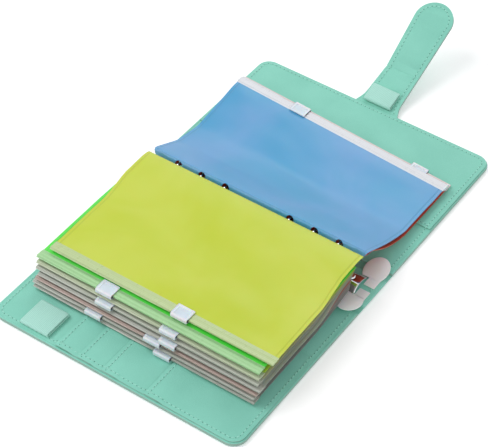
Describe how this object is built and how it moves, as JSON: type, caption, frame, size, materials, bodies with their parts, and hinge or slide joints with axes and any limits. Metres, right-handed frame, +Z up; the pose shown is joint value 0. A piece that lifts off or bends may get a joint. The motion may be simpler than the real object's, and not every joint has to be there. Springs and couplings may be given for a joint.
{
  "type": "cash envelope wallet",
  "caption": "Soft-covered ring wallet lying open, with zip film envelopes on its rings, card slots, pen loops and a closing strap.",
  "frame": {"origin": "on the underside of the spine, at its middle", "axes": "+X from the left cover to the right cover and its strap, +Y along the spine to the top edge, +Z up from the open wallet"},
  "size_m": [0.4048, 0.19, 0.0427],
  "materials": {
    "leather_mint": "fine grained satin",
    "leather_lining": "fine grained satin",
    "elastic_mint": "ribbed elastic",
    "slider_plastic": "moulded",
    "lifter_plastic": "thin sheet",
    "magnet": "plain",
    "ring_chrome": "polished",
    "film_yellow": "frosted film",
    "film_green": "frosted film",
    "film_lime": "frosted film",
    "film_amber": "frosted film",
    "film_sky": "frosted film",
    "film_pink": "frosted film",
    "film_violet": "frosted film",
    "film_red": "frosted film",
    "film_blue": "frosted film",
    "film_orange": "frosted film"
  },
  "bodies": {
    "spine": {"spine_panel": "leather_mint", "ring_plate": "ring_chrome", "ring_rivet_top": "ring_chrome", "ring_rivet_bottom": "ring_chrome", "page_lifter_left": "lifter_plastic", "page_lifter_right": "lifter_plastic"},
    "left_cover": {"left_cover_panel": "leather_mint", "cover_magnet": "magnet", "card_slot_panel_1": "leather_lining", "card_slot_panel_2": "leather_lining", "card_slot_panel_3": "leather_lining", "card_slot_panel_4": "leather_lining", "cover_pen_loop": "elastic_mint", "zip_envelope_1": "film_yellow", "zip_envelope_2": "film_green", "zip_envelope_3": "film_lime", "zip_envelope_4": "film_amber", "zip_envelope_5": "film_sky", "zip_envelope_6": "film_pink", "zip_envelope_7": "film_violet", "zip_envelope_8": "film_red"},
    "right_cover": {"right_cover_panel": "leather_mint", "back_pocket_panel": "leather_lining", "zip_envelope_9": "film_blue", "zip_envelope_10": "film_orange"},
    "strap_root": {"strap_base": "leather_mint", "strap_pen_loop": "elastic_mint"},
    "strap_end": {"strap_tip": "leather_mint", "strap_magnet": "magnet"},
    "rings_left": {"ring_leaf_left": "ring_chrome", "half_ring_left_1": "ring_chrome", "half_ring_left_2": "ring_chrome", "half_ring_left_3": "ring_chrome", "half_ring_left_4": "ring_chrome", "half_ring_left_5": "ring_chrome", "half_ring_left_6": "ring_chrome"},
    "rings_right": {"ring_leaf_right": "ring_chrome", "half_ring_right_1": "ring_chrome", "half_ring_right_2": "ring_chrome", "half_ring_right_3": "ring_chrome", "half_ring_right_4": "ring_chrome", "half_ring_right_5": "ring_chrome", "half_ring_right_6": "ring_chrome"},
    "slider_1": {"zip_slider_1": "slider_plastic"},
    "slider_2": {"zip_slider_2": "slider_plastic"},
    "slider_3": {"zip_slider_3": "slider_plastic"},
    "slider_4": {"zip_slider_4": "slider_plastic"},
    "slider_5": {"zip_slider_5": "slider_plastic"},
    "slider_6": {"zip_slider_6": "slider_plastic"},
    "slider_7": {"zip_slider_7": "slider_plastic"},
    "slider_8": {"zip_slider_8": "slider_plastic"},
    "slider_9": {"zip_slider_9": "slider_plastic"},
    "slider_10": {"zip_slider_10": "slider_plastic"}
  },
  "joints": [
    {"name": "left_cover_fold", "type": "hinge", "parent": "spine", "child": "left_cover", "pos_m": [-0.018, 0, 0.0012], "axis": [0, 1, 0], "range_deg": [0, 90], "deforming": ["zip_envelope_1", "zip_envelope_2", "zip_envelope_3", "zip_envelope_4", "zip_envelope_5", "zip_envelope_6", "zip_envelope_7", "zip_envelope_8", "page_lifter_left"]},
    {"name": "right_cover_fold", "type": "hinge", "parent": "spine", "child": "right_cover", "pos_m": [0.018, 0, 0.0012], "axis": [0, -1, 0], "range_deg": [0, 90], "deforming": ["zip_envelope_9", "zip_envelope_10", "page_lifter_right"]},
    {"name": "strap_root_bend", "type": "hinge", "parent": "right_cover", "child": "strap_root", "pos_m": [0.1583, 0, 0.0025], "axis": [0, -1, 0], "range_deg": [-17, 73], "stiffness_Nm_per_rad": 0.05},
    {"name": "strap_crease_bend", "type": "hinge", "parent": "strap_root", "child": "strap_end", "pos_m": [0.19292, 0, 0.01308], "axis": [0, -1, 0], "range_deg": [-12.3, 77.7], "stiffness_Nm_per_rad": 0.05},
    {"name": "rings_open", "type": "hinge", "parent": "spine", "child": "rings_left", "pos_m": [-0.0067, 0, 0.0038], "axis": [0, 1, 0], "range_deg": [-15, 0], "stiffness_Nm_per_rad": 0.05, "springref_deg": 2.86},
    {"name": "rings_open_right", "type": "hinge", "parent": "spine", "child": "rings_right", "pos_m": [0.0067, 0, 0.0038], "axis": [0, -1, 0], "range_deg": [-15, 0]},
    {"name": "slider_1_run", "type": "slide", "parent": "left_cover", "child": "slider_1", "axis": [0, 1, 0], "range_m": [-0.0615, 0.0945]},
    {"name": "slider_2_run", "type": "slide", "parent": "left_cover", "child": "slider_2", "axis": [0, 1, 0], "range_m": [-0.1087, 0.0473]},
    {"name": "slider_3_run", "type": "slide", "parent": "left_cover", "child": "slider_3", "axis": [0, 1, 0], "range_m": [-0.0595, 0.0965]},
    {"name": "slider_4_run", "type": "slide", "parent": "left_cover", "child": "slider_4", "axis": [0, 1, 0], "range_m": [-0.1083, 0.0477]},
    {"name": "slider_5_run", "type": "slide", "parent": "left_cover", "child": "slider_5", "axis": [0, 1, 0], "range_m": [-0.061, 0.095]},
    {"name": "slider_6_run", "type": "slide", "parent": "left_cover", "child": "slider_6", "axis": [0, 1, 0], "range_m": [-0.0702, 0.0858]},
    {"name": "slider_7_run", "type": "slide", "parent": "left_cover", "child": "slider_7", "axis": [0, 1, 0], "range_m": [-0.1139, 0.0421]},
    {"name": "slider_8_run", "type": "slide", "parent": "left_cover", "child": "slider_8", "axis": [0, 1, 0], "range_m": [-0.061, 0.095]},
    {"name": "slider_9_run", "type": "slide", "parent": "right_cover", "child": "slider_9", "axis": [0, -0.9975, -0.0708], "range_m": [-0.044, 0.112]},
    {"name": "slider_10_run", "type": "slide", "parent": "right_cover", "child": "slider_10", "axis": [0, -0.9975, -0.0708], "range_m": [-0.138, 0.018]}
  ],
  "couplings": [
    {"joint": "rings_open_right", "follows": "rings_open", "ratio": 1}
  ]
}
